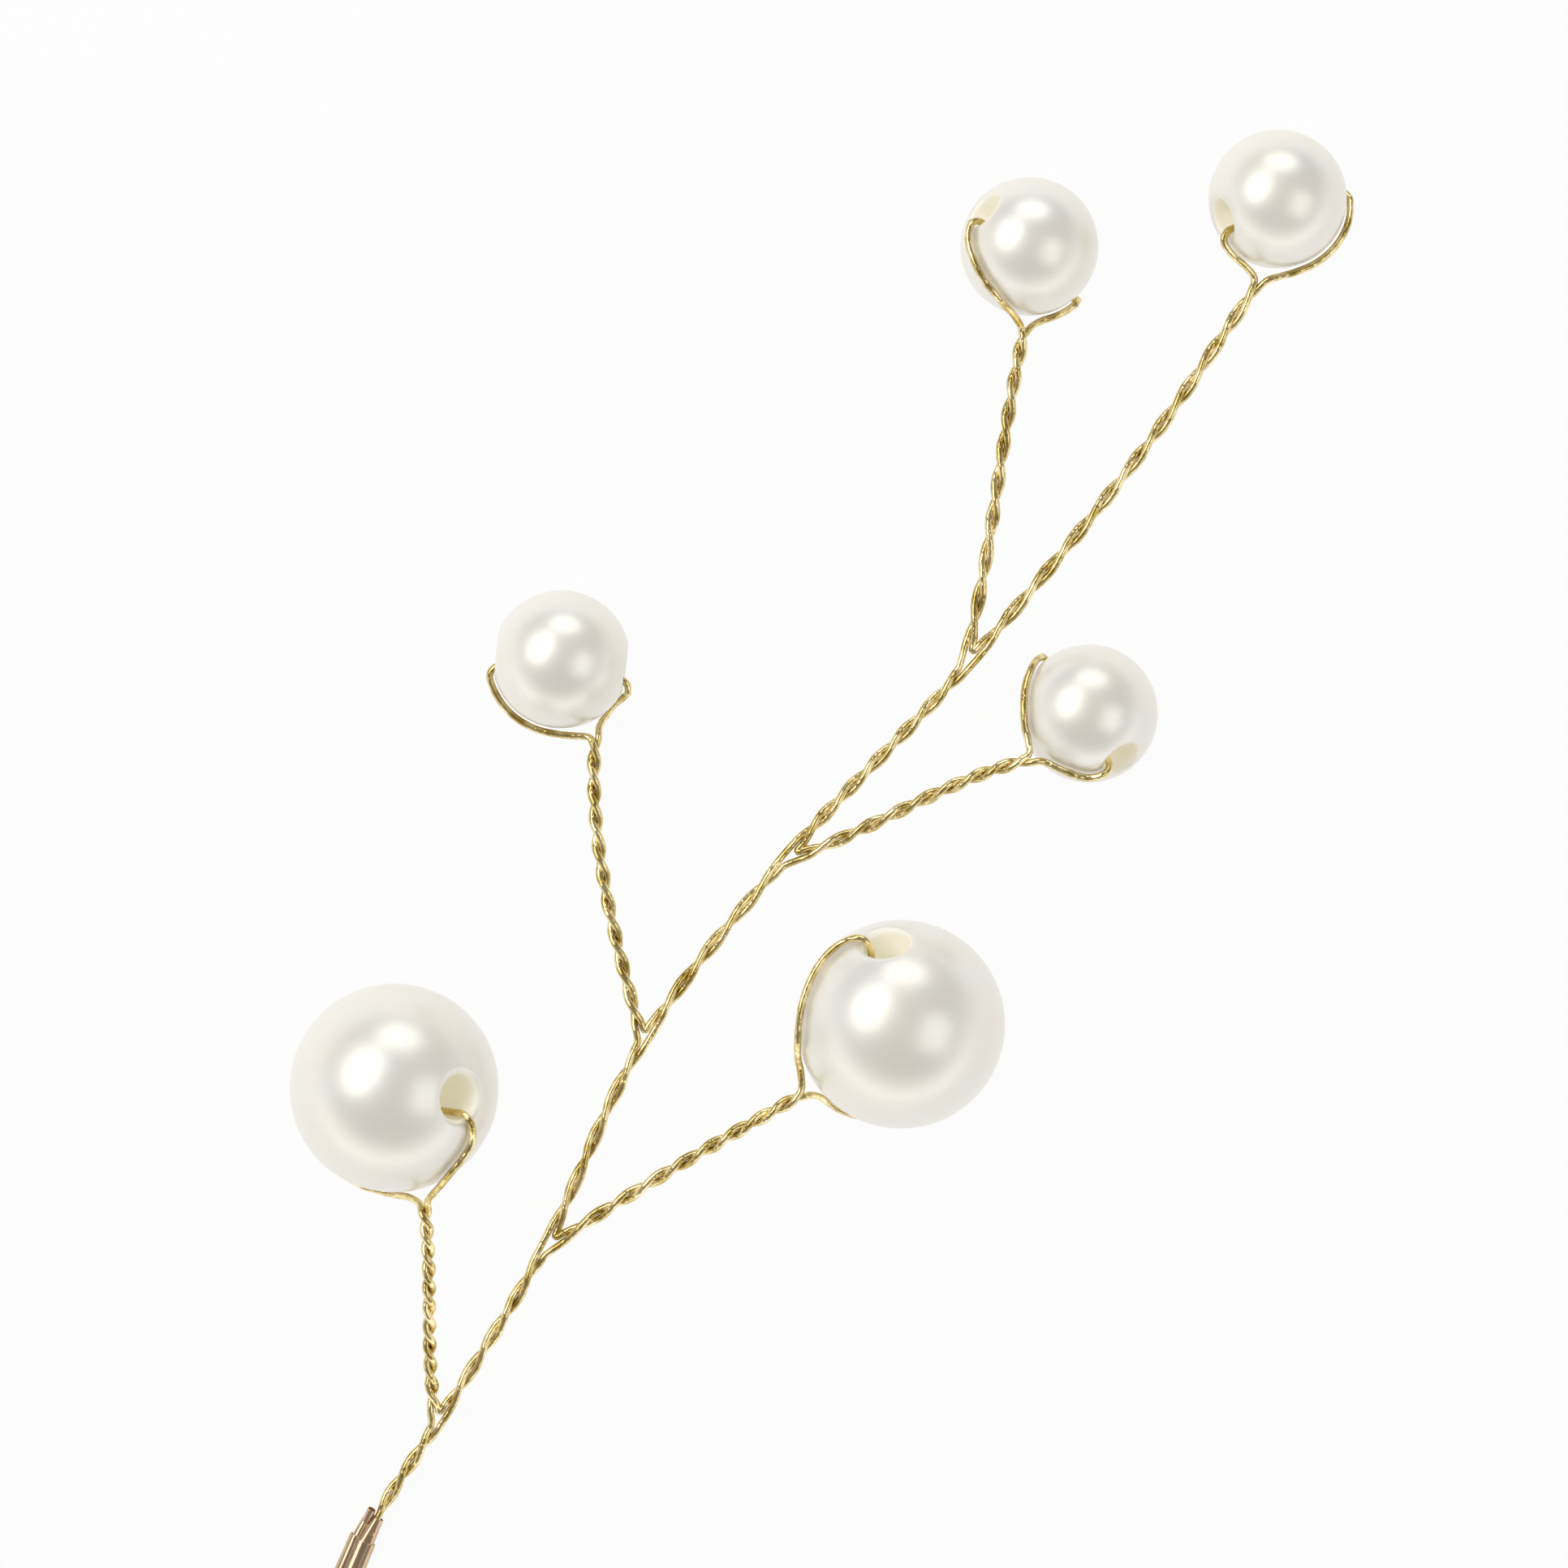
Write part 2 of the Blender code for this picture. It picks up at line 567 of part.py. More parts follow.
def main():
    clear_scene()
    parts = make_collection("decorative_hair_pin")
    cutters = make_collection("cutters")
    pearl_white = make_material("pearl_white", PEARL_COLOR, 0.0, 0.25)
    gold = make_material("pale_gold", GOLD_COLOR, 1.0, 0.2)
    bronze = make_material("bronze", BRONZE_COLOR, 1.0, 0.3)
    stem = Stem()
    branches = [Branch(plan, stem) for plan in BRANCHES]
    for pearl in [branch.pearl for branch in branches] + [stem.top]:
        build_pearl(pearl, pearl_white, parts)
    for branch in branches:
        wire_curve("wire_" + branch.name, branch.wire(stem), wire_radius, gold, parts)
    build_stem(stem, branches, gold, parts)
    pin, scales = pin_points()
    wire_curve("hair_pin", pin, leg_radius, bronze, parts, scales)
    build_ferrule(bronze, parts, cutters)


main()
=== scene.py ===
import json
import math

import bpy
import numpy as np
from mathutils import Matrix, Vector


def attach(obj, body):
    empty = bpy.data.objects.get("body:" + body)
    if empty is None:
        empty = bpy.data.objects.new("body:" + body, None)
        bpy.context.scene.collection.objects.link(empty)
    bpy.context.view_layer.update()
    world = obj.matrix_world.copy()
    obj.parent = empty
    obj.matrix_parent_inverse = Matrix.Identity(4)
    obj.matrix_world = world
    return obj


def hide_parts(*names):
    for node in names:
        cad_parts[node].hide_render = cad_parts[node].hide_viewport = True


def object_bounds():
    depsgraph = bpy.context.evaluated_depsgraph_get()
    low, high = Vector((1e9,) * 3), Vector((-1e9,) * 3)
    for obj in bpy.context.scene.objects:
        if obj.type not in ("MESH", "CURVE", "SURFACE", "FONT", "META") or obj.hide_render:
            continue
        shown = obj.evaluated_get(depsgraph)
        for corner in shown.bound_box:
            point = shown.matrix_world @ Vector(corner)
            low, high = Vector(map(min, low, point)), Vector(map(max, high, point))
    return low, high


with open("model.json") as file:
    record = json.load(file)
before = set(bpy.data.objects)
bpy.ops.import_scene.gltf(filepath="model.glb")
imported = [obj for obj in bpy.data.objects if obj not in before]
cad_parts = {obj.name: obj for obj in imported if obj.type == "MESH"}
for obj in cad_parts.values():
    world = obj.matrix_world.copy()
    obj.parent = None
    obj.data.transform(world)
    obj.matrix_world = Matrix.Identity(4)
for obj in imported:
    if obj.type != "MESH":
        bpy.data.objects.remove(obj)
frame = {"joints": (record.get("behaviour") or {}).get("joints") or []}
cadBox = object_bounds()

mm = 0.001
sharpAngle = 50
noiseMean = 0.5
up = np.array([0.0, 0.0, 1.0])
tableHeight = cadBox[0][2]


def unit(vector):
    return vector / np.linalg.norm(vector, axis=-1, keepdims=True)


def heading(turn, climb=0.0):
    turn, climb = math.radians(turn), math.radians(climb)
    return np.array([math.cos(turn) * math.cos(climb), math.sin(turn) * math.cos(climb), math.sin(climb)])


class Value:
    # one socket of a node tree; arithmetic on it adds Math nodes
    def __init__(self, tree, socket=None):
        self.tree = tree
        self.socket = socket

    def make(self, kind, settings=None, inputs=None, out=0):
        node = self.tree.nodes.new(kind)
        for key, value in (settings or {}).items():
            setattr(node, key, value)
        for key, value in (inputs or {}).items():
            if isinstance(value, Value):
                self.tree.links.new(value.socket, node.inputs[key])
            else:
                node.inputs[key].default_value = value
        return Value(self.tree, node.outputs[out] if node.outputs else None)

    def maths(self, operation, first, second=0.0):
        return self.make("ShaderNodeMath", {"operation": operation}, {0: first, 1: second})

    def __add__(self, other):
        return self.maths("ADD", self, other)

    def __radd__(self, other):
        return self.maths("ADD", other, self)

    def __sub__(self, other):
        return self.maths("SUBTRACT", self, other)

    def __rsub__(self, other):
        return self.maths("SUBTRACT", other, self)

    def __mul__(self, other):
        return self.maths("MULTIPLY", self, other)

    def __rmul__(self, other):
        return self.maths("MULTIPLY", other, self)

    def between(self, low, high):
        # smooth step from 0 at low to 1 at high
        return self.make("ShaderNodeMapRange", {"interpolation_type": "SMOOTHSTEP"},
                         {"Value": self, "From Min": low, "From Max": high})

    def tint(self, first, second):
        # colour from first at 0 to second at 1
        return self.make("ShaderNodeMix", {"data_type": "RGBA"}, {0: self, 6: first, 7: second}, 2)

    def bump(self, strength, distance):
        return self.make("ShaderNodeBump", None, {"Height": self, "Strength": strength, "Distance": distance})


def newMaterial(name):
    material = bpy.data.materials.new(name)
    material.use_nodes = True
    material.node_tree.nodes.clear()
    return material, Value(material.node_tree)


def noise(start, place, scale, detail, roughness):
    return start.make("ShaderNodeTexNoise", None,
                      {"Vector": place, "Scale": scale, "Detail": detail, "Roughness": roughness})


def grid(rows, columns, wrapRows, wrapColumns):
    # quads of a rows by columns grid, as index array
    row = np.arange(rows if wrapRows else rows - 1)[:, None]
    column = np.arange(columns if wrapColumns else columns - 1)[None, :]
    nextRow, nextColumn = (row + 1) % rows, (column + 1) % columns
    corners = [row * columns + column, row * columns + nextColumn,
               nextRow * columns + nextColumn, nextRow * columns + column]
    shape = (row.size, column.size)
    return np.stack([np.broadcast_to(spot, shape) for spot in corners], axis=-1).reshape(-1, 4)


def makePiece(name, shells, material, body, nodes, marks=None):
    # shells: (points, quads, caps) joined in one mesh; marks: one float per point, kept as an attribute
    offsets = np.cumsum([0] + [len(points) for points, quads, caps in shells])
    points = np.concatenate([points for points, quads, caps in shells])
    quads = np.concatenate([shell[1] + offset for shell, offset in zip(shells, offsets)])
    caps = [cap + offset for shell, offset in zip(shells, offsets) for cap in shell[2]]
    corners = np.concatenate([quads.ravel(), *caps])
    counts = np.array([4] * len(quads) + [len(cap) for cap in caps])
    mesh = bpy.data.meshes.new(name)
    mesh.vertices.add(len(points))
    mesh.vertices.foreach_set("co", points.astype(np.float32).ravel())
    mesh.loops.add(len(corners))
    mesh.loops.foreach_set("vertex_index", corners.astype(np.int32))
    mesh.polygons.add(len(counts))
    mesh.polygons.foreach_set("loop_start", (np.cumsum(counts) - counts).astype(np.int32))
    mesh.update(calc_edges=True)
    if marks is not None:
        layer = mesh.attributes.new("mark", "FLOAT", "POINT")
        layer.data.foreach_set("value", np.asarray(marks, dtype=np.float32))
    mesh.materials.append(material)
    mesh.shade_smooth()
    mesh.set_sharp_from_angle(angle=math.radians(sharpAngle))
    piece = bpy.data.objects.new(name, mesh)
    bpy.context.scene.collection.objects.link(piece)
    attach(piece, body)
    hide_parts(*nodes)


def tube(points, radius, sides, scales=None):
    # P(s, t) = C(s) + r(s) (cos t N(s) + sin t B(s)), with N carried along C without twist
    tangent = unit(np.gradient(points, axis=0))
    guide = np.eye(3)[np.argmin(np.abs(tangent), axis=1)]
    side = unit(guide - np.sum(guide * tangent, axis=1, keepdims=True) * tangent)
    over = np.cross(tangent, side)
    before, after = tangent[:-1], tangent[1:]
    lean = np.sum(side[:-1] * after, axis=1) / (1 + np.sum(before * after, axis=1))
    carried = side[:-1] - lean[:, None] * (before + after)
    turn = np.arctan2(np.sum(carried * over[1:], axis=1), np.sum(carried * side[1:], axis=1))
    twist = np.concatenate([[0.0], np.cumsum(turn)])[:, None, None]
    angle = np.linspace(0, 2 * math.pi, sides, endpoint=False)[None, :, None]
    width = radius * (np.ones(len(points)) if scales is None else scales)
    ring = np.cos(angle + twist) * side[:, None] + np.sin(angle + twist) * over[:, None]
    shell = (points[:, None] + width[:, None, None] * ring).reshape(-1, 3)
    rim = np.arange(sides)
    return shell, grid(len(points), sides, False, True), [rim[::-1], rim + (len(points) - 1) * sides]


class Line:
    # a centreline read back by the distance along it
    def __init__(self, points):
        self.points = points
        self.marks = np.concatenate([[0.0], np.cumsum(np.linalg.norm(np.diff(points, axis=0), axis=1))])
        self.length = self.marks[-1]
        self.slopes = np.gradient(points, self.marks, axis=0)

    def read(self, table, distance):
        return np.stack([np.interp(distance, self.marks, table[:, axis]) for axis in range(3)], axis=-1)

    def at(self, distance):
        return self.read(self.points, distance)

    def frame(self, distance):
        tangent = unit(self.read(self.slopes, distance))
        left = unit(np.cross(up, tangent))
        return tangent, left, np.cross(tangent, left)

    def beside(self, distance, phase):
        # strand on a helix: C + h (cos p left + sin p over)
        distance, phase = np.asarray(distance, float), np.asarray(phase, float)[..., None]
        left, over = self.frame(distance)[1:]
        return self.at(distance) + wire["offset"] * (np.cos(phase) * left + np.sin(phase) * over)

    def even(self, step):
        # the same line at equal steps, its kinks smoothed
        points = self.at(np.linspace(0.0, self.length, int(self.length / step)))
        for again in range(wire["smoothing"]):
            points[1:-1] = 0.25 * points[:-2] + 0.5 * points[1:-1] + 0.25 * points[2:]
        return points


def through(points, perSpan=30):
    # cubic Hermite spans through points, knots at the square root of the chord
    points = np.asarray(points, float)
    knots = np.concatenate([[0.0], np.cumsum(np.sqrt(np.linalg.norm(np.diff(points, axis=0), axis=1)))])
    slopes = np.gradient(points, knots, axis=0)
    share = np.linspace(0.0, 1.0, perSpan, endpoint=False)[None, :, None]
    width = np.diff(knots)[:, None, None]
    rise = 3 * share ** 2 - 2 * share ** 3
    spans = (points[:-1, None] * (1 - rise) + points[1:, None] * rise
             + width * slopes[:-1, None] * (share ** 3 - 2 * share ** 2 + share)
             + width * slopes[1:, None] * (share ** 3 - share ** 2))
    return np.concatenate([spans.reshape(-1, 3), points[-1:]])


def bezier(first, second, third, fourth, count=160):
    # cubic Bezier curve from first to fourth, pulled by second and third
    share = np.linspace(0.0, 1.0, count)[:, None]
    rest = 1 - share
    return (rest ** 3 * first + 3 * rest ** 2 * share * second
            + 3 * rest * share ** 2 * third + share ** 3 * fourth)


# pearls: white lacquered beads, each on its own body

pearlSizes = {
    "large": {"radius": 6.0 * mm, "bore": 1.35 * mm, "lip": 0.35 * mm},
    "small": {"radius": 4.0 * mm, "bore": 1.1 * mm, "lip": 0.3 * mm},
    "arcSteps": 96, "lipSteps": 10, "boreSteps": 8, "turnSteps": 120,
    "mouthEdge": 0.6, "mouthFade": 0.5, "guide": (0.3, 0.3, 1.3),  # in lips; a way that no bore points
}
pearlFinish = {
    "ivory": (0.92, 0.88, 0.785, 1), "cool": (0.90, 0.873, 0.81, 1), "bore": (0.93, 0.905, 0.81, 1),
    # painted light: the bore wall glows with this emission, a painted glow standing in for light passing
    # through the thin shell
    "painted_bore_glow": (0.13, 0.125, 0.10, 1),
    "cloud": (260.0, 3.0, 0.55), "grain": (5200.0, 2.0, 0.6), "speck": (1500.0, 1.0, 0.4),
    "cloudRange": (0.35, 0.65), "speckRange": (0.78, 0.86), "grainRelief": 0.5, "cloudRelief": 1.5,
    "roughness": 0.35, "cloudRough": 0.08, "speckRough": 0.15, "boreRough": 0.25,
    "relief": 0.06, "reliefDepth": 0.02 * mm, "metallic": 0.4, "coat": 0.25, "coatRoughness": 0.1,
}


def pearlMaterial(plan):
    material, start = newMaterial("pearl_lacquer")
    place = start.make("ShaderNodeTexCoord", None, None, "Object")
    cloud = noise(start, place, *plan["cloud"])
    grain = noise(start, place, *plan["grain"])
    speck = noise(start, place, *plan["speck"]).between(*plan["speckRange"])
    inBore = start.make("ShaderNodeAttribute", {"attribute_name": "mark"}, None, "Fac")
    skin = cloud.between(*plan["cloudRange"]).tint(plan["cool"], plan["ivory"])
    color = inBore.tint(skin, plan["bore"])
    rough = plan["roughness"] + (cloud - noiseMean) * plan["cloudRough"] + speck * plan["speckRough"]
    rough = rough + inBore * plan["boreRough"]
    relief = grain * plan["grainRelief"] + cloud * plan["cloudRelief"]
    shader = start.make("ShaderNodeBsdfPrincipled", None, {
        "Base Color": color, "Roughness": rough, "Normal": relief.bump(plan["relief"], plan["reliefDepth"]),
        "Metallic": plan["metallic"] - inBore * plan["metallic"],
        "Coat Weight": plan["coat"] - inBore * plan["coat"], "Coat Roughness": plan["coatRoughness"],
        # painted light: emission inside the bore only, a painted glow for light shining through the shell;
        # the bead is no lamp
        "Emission Color": inBore.tint((0, 0, 0, 1), plan["painted_bore_glow"]), "Emission Strength": 1.0})
    start.make("ShaderNodeOutputMaterial", None, {"Surface": shader})
    return material


class Pearl:
    # the bead's place and bore come from its joint in the frame
    def __init__(self, name, size):
        self.name = name
        self.size = pearlSizes[size]
        joint = next(joint for joint in frame["joints"] if joint["name"] == name + "_pearl_spin")
        self.middle = np.array(joint["pos_m"])
        self.axis = unit(np.array(joint["axis"]))
        radius, bore, lip = self.size["radius"], self.size["bore"], self.size["lip"]
        self.lipHeight = math.sqrt((radius - lip) ** 2 - (bore + lip) ** 2)
        self.lipAngle = math.atan2(bore + lip, self.lipHeight)

    def surface(self):
        # P(s, t) = M + z(s) A + q(s) (cos t U + sin t V): ball, rolled lips and bore
        radius, bore, lip = self.size["radius"], self.size["bore"], self.size["lip"]
        arc = np.linspace(self.lipAngle, math.pi - self.lipAngle, pearlSizes["arcSteps"])
        turn = np.linspace(-math.pi / 2, self.lipAngle, pearlSizes["lipSteps"])[:-1]
        lipSide = bore + lip + lip * np.sin(turn)
        lipRise = self.lipHeight + lip * np.cos(turn)
        depth = np.linspace(-self.lipHeight, self.lipHeight, pearlSizes["boreSteps"])[1:-1]
        side = np.concatenate([lipSide, radius * np.sin(arc), lipSide[::-1], 0 * depth + bore])
        rise = np.concatenate([lipRise, radius * np.cos(arc), -lipRise[::-1], depth])
        across = unit(np.cross(self.axis, pearlSizes["guide"]))
        beyond = np.cross(self.axis, across)
        angle = np.linspace(0, 2 * math.pi, pearlSizes["turnSteps"], endpoint=False)[None, :, None]
        ring = np.cos(angle) * across + np.sin(angle) * beyond
        points = self.middle + rise[:, None, None] * self.axis + side[:, None, None] * ring
        faces = grid(len(side), pearlSizes["turnSteps"], True, True)[:, ::-1]
        edge, fade = bore + pearlSizes["mouthEdge"] * lip, pearlSizes["mouthFade"] * lip
        inside = np.clip((edge - side) / fade, 0.0, 1.0)
        inside[len(lipSide):len(lipSide) + len(arc)] = 0.0
        return points.reshape(-1, 3), faces, np.repeat(inside, pearlSizes["turnSteps"])

    def loopSide(self, neck, end, stops, bendSteps=20):
        # from the neck over the stops round the ball to the bore mouth at one end, end 1 or -1
        radius, bore, lip = self.size["radius"], self.size["bore"], self.size["lip"]
        reach = wire["radius"] + wire["pearlGap"]
        orbit = radius + reach
        pole = end * self.axis
        last = heading(*stops[-1])
        across = unit(last - np.dot(last, pole) * pole)
        entry = math.cos(self.lipAngle) * pole + math.sin(self.lipAngle) * across
        ways = through([neck - self.middle] + [orbit * heading(*stop) for stop in stops] + [orbit * entry])
        ways = ways * np.maximum(1.0, orbit / np.linalg.norm(ways, axis=1, keepdims=True))
        arc = ways[np.linalg.norm(ways + self.middle - neck, axis=1) > wire["loopBend"]]
        bend = np.linspace(self.lipAngle, -math.pi / 2, bendSteps)[1:, None]
        along = self.lipHeight + (lip + reach) * np.cos(bend)
        aside = bore + lip + (lip + reach) * np.sin(bend)
        return self.middle + np.concatenate([arc, along * pole + aside * across])


# gold wire: one strand that leaves the stem, passes each pearl and twists back on itself

wire = {
    "radius": 0.212 * mm, "offset": 0.222 * mm, "pearlGap": 0.12 * mm, "neckGap": 0.7 * mm,
    "loopBend": 0.5 * mm, "bendShare": 0.8, "crotch": 0.2 * mm, "crotchShare": 0.7,
    "join": 0.4 * mm, "lap": 0.1 * mm, "lapScale": 0.85, "stemPitch": 5.3 * mm, "stackTurn": 0.25,
    "step": 0.085 * mm, "sides": 14, "pointsPerTurn": 40, "bendLead": 5, "joinLead": 6, "smoothing": 6,
    "stemSteps": 400, "joinSteps": 16,
    "seat": (0.42 * mm, 6.45 * mm, 0.075 * mm), "mouth": (0.42 * mm, 8.05 * mm, 0.075 * mm),
    "route": [(1.5 * mm, 14.0 * mm, 1.0 * mm), (3.35 * mm, 25.8 * mm, 2.2 * mm),
              (4.1 * mm, 39.4 * mm, 2.9 * mm), (7.6 * mm, 52.2 * mm, 3.0 * mm),
              (13.0 * mm, 66.5 * mm, 3.2 * mm), (17.7 * mm, 81.9 * mm, 3.4 * mm)],
}
topPlan = {"name": "top", "size": "small", "neck": -80, "dip": 0, "tighten": 0.1,
           "front": [(-95, 5), (-111, 12)], "back": [(-48, 0), (-24, 0), (-5, 0), (12, -5), (25, -10)]}
branchPlans = [  # from the ferrule upwards; side 1 is left; headings and slopes in degrees
    {"name": "lower_left", "size": "large", "joint": 0, "side": 1, "pitch": 2.6 * mm, "tighten": 0.1,
     "leaves": 121, "lands": 120, "neck": -53, "dip": 3,
     "front": [(-32, 23), (-9, 30)], "back": [(-62, -5), (-75, -14), (-94, -18), (-127, -35)]},
    {"name": "lower_right", "size": "large", "joint": 1, "side": -1, "pitch": 3.8 * mm, "tighten": 0.3,
     "leaves": 57, "lands": 52, "neck": -122, "dip": 0,
     "front": [(-134, 5), (-150, 19), (179, 23), (161, 21), (147, 22)],
     "back": [(-115, -8), (-108, -13), (-100, -16), (-79, -26)]},
    {"name": "middle_left", "size": "small", "joint": 2, "side": 1, "pitch": 3.6 * mm, "tighten": 0.1,
     "leaves": 128, "lands": 108, "neck": -44, "dip": -3,
     "front": [(-34, -12), (-20, -24), (-4, -6)], "back": [(-74, -5), (-102, -6), (-127, -5), (-144, -4)]},
    {"name": "middle_right", "size": "small", "joint": 3, "side": -1, "pitch": 3.8 * mm, "tighten": 0.25,
     "leaves": 40, "lands": 36, "neck": -120, "dip": 28,
     "front": [(-108, 29), (-88, 32), (-69, 30), (-57, 33)],
     "back": [(-137, 26), (-161, 27), (179, 20), (162, 8), (151, -12)]},
    {"name": "upper_left", "size": "small", "joint": 4, "side": 1, "pitch": 4.0 * mm, "tighten": 0.25,
     "leaves": 98, "lands": 100, "neck": -71, "dip": 3,
     "front": [(-83, 19), (-101, 33), (-117, 36), (-138, 37), (-160, 33)],
     "back": [(-56, -8), (-44, -9), (-28, -12), (-22, -18)]},
]
goldFinish = {
    "pale": (0.96, 0.81, 0.46, 1), "deep": (0.48, 0.345, 0.085, 1),
    "patch": (900.0, 3.0, 0.6), "kink": (2400.0, 1.0, 0.5), "draw": (14000.0, 2.0, 0.6),
    "patchRange": (0.3, 0.7), "roughness": 0.06, "patchRough": 0.08, "drawRough": 0.04,
    "drawRelief": 0.03, "relief": 0.5, "reliefDepth": 0.12 * mm,
}


def goldMaterial(plan):
    material, start = newMaterial("pale_gold_wire")
    place = start.make("ShaderNodeTexCoord", None, None, "Object")
    patch = noise(start, place, *plan["patch"])
    kink = noise(start, place, *plan["kink"])
    draw = noise(start, place, *plan["draw"])
    rough = plan["roughness"] + (patch - noiseMean) * plan["patchRough"]
    rough = rough + (draw - noiseMean) * plan["drawRough"]
    relief = kink + draw * plan["drawRelief"]
    shader = start.make("ShaderNodeBsdfPrincipled", None, {
        "Base Color": patch.between(*plan["patchRange"]).tint(plan["deep"], plan["pale"]), "Metallic": 1.0,
        "Roughness": rough, "Normal": relief.bump(plan["relief"], plan["reliefDepth"])})
    start.make("ShaderNodeOutputMaterial", None, {"Surface": shader})
    return material


def corner(before, tip, after, count=12):
    # quadratic Bezier round the corner at tip
    most, part = wire["loopBend"], wire["bendShare"]
    start = tip + unit(before - tip) * min(most, part * np.linalg.norm(before - tip))
    finish = tip + unit(after - tip) * min(most, part * np.linalg.norm(after - tip))
    share = np.linspace(0.0, 1.0, count)[:, None]
    return (1 - share) ** 2 * start + 2 * share * (1 - share) * tip + share ** 2 * finish


def twistedWire(pearl, line, startPhase, firstTwist, pitch, plan):
    # out along the line as one strand, round the pearl, back as the other strand
    left, over = line.frame(line.length)[1:]
    spread = heading(*plan["front"][0]) - heading(*plan["back"][0])
    tilt = math.atan2(np.dot(spread, over), np.dot(spread, left))
    halfTurns = round((2 * math.pi * (line.length - firstTwist) / pitch - startPhase + tilt) / math.pi)
    endPhase = tilt - halfTurns * math.pi
    end = 1 if halfTurns % 2 == 0 else -1
    count = round((startPhase - endPhase) / (2 * math.pi) * wire["pointsPerTurn"])
    stations = np.linspace(firstTwist, line.length, count + 1)
    share = np.linspace(0.0, 1.0, count + 1)
    share = share + plan["tighten"] * (share ** 2 - share)  # more turns near the pearl
    phases = startPhase + (endPhase - startPhase) * share
    out, back = line.beside(stations, phases), line.beside(stations, phases + math.pi)
    ways = {1: plan["front"], -1: plan["back"]}
    loopOut = pearl.loopSide(line.points[-1], end, ways[end])
    loopBack = pearl.loopSide(line.points[-1], -end, ways[-end])
    near = -wire["bendLead"]
    cornerOut = corner(out[near], out[-1], loopOut[0])
    cornerBack = corner(back[near], back[-1], loopBack[0])
    return np.concatenate([out[:near + 1], cornerOut, loopOut[1:], loopBack[:0:-1],
                           cornerBack[::-1], back[near::-1]])


def neckOf(pearl, plan):
    reach = pearl.size["radius"] + wire["radius"] + wire["neckGap"]
    return pearl.middle + heading(plan["neck"], plan["dip"]) * reach


topPearl = Pearl(topPlan["name"], topPlan["size"])
stemLine = Line(through([wire["seat"], wire["mouth"]] + wire["route"] + [tuple(neckOf(topPearl, topPlan))]))


def markOf(place):
    return stemLine.marks[int(np.argmin(np.linalg.norm(stemLine.points - np.asarray(place), axis=1)))]


class Branch:
    def __init__(self, plan):
        self.plan = plan
        self.pearl = Pearl(plan["name"], plan["size"])
        self.mark = markOf(wire["route"][plan["joint"]])
        root, neck = stemLine.at(self.mark), neckOf(self.pearl, plan)
        tangent = stemLine.frame(self.mark)[0]
        leave = heading(plan["leaves"], math.degrees(math.asin(tangent[2])))
        pull = np.linalg.norm(neck - root) / 3
        self.line = Line(bezier(root, root + pull * leave, neck - pull * heading(plan["lands"]), neck))
        opening = math.acos(float(np.dot(tangent, leave)))
        self.crotch = wire["crotchShare"] * (wire["crotch"] + wire["offset"]) / math.sin(opening / 2)
        self.lowMark = self.mark - wire["join"]
        self.highMark = self.mark + self.crotch + wire["join"]

    def path(self):
        # up from the stem's lower run, out and back, round the crotch into the upper run
        phase = 0.0 if self.plan["side"] > 0 else math.pi
        firstTwist = self.crotch + wire["join"] / 2
        run = twistedWire(self.pearl, self.line, phase, firstTwist, self.plan["pitch"], self.plan)
        low = stemLine.beside(self.lowMark + np.array([-wire["lap"], wire["join"] / 2]), [phase, phase])
        inner = self.line.beside([self.crotch], [phase + math.pi])
        outer = stemLine.beside([self.mark + self.crotch], [phase])
        middle = (inner + outer) / 2
        bottom = middle - unit(middle[0] - stemLine.at(self.mark)) * wire["crotch"]
        high = stemLine.beside([self.highMark + wire["lap"]], [phase])
        skip, steps = wire["joinLead"], wire["joinSteps"]
        rise = through(np.concatenate([low, run[:1], run[skip:skip + 1]]), steps)[:2 * steps + 1]
        turn = np.concatenate([run[-1 - skip:-skip], run[-1:], inner, bottom, outer, high])
        turn = through(turn, steps)[steps + 1:]
        return np.concatenate([rise[:-1], run, turn])


branches = [Branch(plan) for plan in branchPlans]
pearls = [branch.pearl for branch in branches] + [topPearl]
pearlSkin = pearlMaterial(pearlFinish)
for pearl in pearls:
    points, faces, inside = pearl.surface()
    makePiece(pearl.name + "_bead", [(points, faces, [])], pearlSkin, pearl.name + "_pearl",
              ["pearl_" + pearl.name], inside)
print("pearls made:", len(pearls))

gold = goldMaterial(goldFinish)


def layWire(name, path, lapped=False):
    # a lapped run slips its thinner ends into the next runs, so that no seam shows
    points = Line(path).even(wire["step"])
    marks = Line(points).marks
    fromEnd = np.minimum(marks, marks[-1] - marks)
    scales = np.clip(wire["lapScale"] + fromEnd / wire["join"], 0.0, 1.0) if lapped else None
    shell = tube(points, wire["radius"], wire["sides"], scales)
    makePiece(name + "_strand", [shell], gold, "sprig", [name])


phaseMarks, phaseTurns = [0.0, markOf(wire["mouth"])], [wire["stackTurn"]] * 2
for branch in branches:  # stacked in the ferrule, flat at each branch, twisted between
    wanted = phaseTurns[-1] - (branch.lowMark - phaseMarks[-1]) / wire["stemPitch"]
    flat = min(round(wanted), math.ceil(phaseTurns[-1]) - 1)
    phaseMarks += [branch.lowMark, branch.highMark]
    phaseTurns += [flat, flat]
    layWire("wire_" + branch.plan["name"], branch.path(), True)
stemPhases = 2 * math.pi * np.array(phaseTurns)
stemFinish = branches[-1].highMark
for side, label, shift in ((1, "left", 0.0), (-1, "right", math.pi)):
    own = [mark for branch in branches if branch.plan["side"] == side
           for mark in (branch.lowMark, branch.highMark)]
    cuts = [0.0] + own + ([] if own[-1] >= stemFinish else [stemFinish])
    for number in range(len(cuts) // 2):
        stations = np.linspace(cuts[2 * number], cuts[2 * number + 1], wire["stemSteps"])
        strand = stemLine.beside(stations, np.interp(stations, phaseMarks, stemPhases) + shift)
        layWire(f"stem_{label}_{number + 1}", strand)
